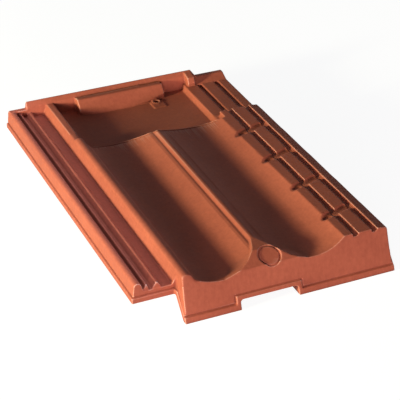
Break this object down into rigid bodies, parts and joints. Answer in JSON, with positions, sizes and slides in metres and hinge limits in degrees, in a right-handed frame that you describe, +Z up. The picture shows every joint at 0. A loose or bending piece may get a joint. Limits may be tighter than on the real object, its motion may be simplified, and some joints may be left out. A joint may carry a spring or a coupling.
{
  "type": "interlocking roof tile",
  "caption": "Interlocking metal roof tile: a thin coated shell with curved troughs, a ribbed side lock, a grooved cover roll and a nailed head that the next course overlaps.",
  "frame": {"origin": "middle of the footprint, on the floor the tile lies on", "axes": "+X along the eaves towards the cover roll, +Y up the slope from the nose to the head, +Z up out of the weather side"},
  "size_m": [0.29, 0.44, 0.05],
  "materials": {
    "coated_aluminium": "matt"
  },
  "bodies": {
    "root": {"tile": "coated_aluminium"}
  },
  "joints": []
}
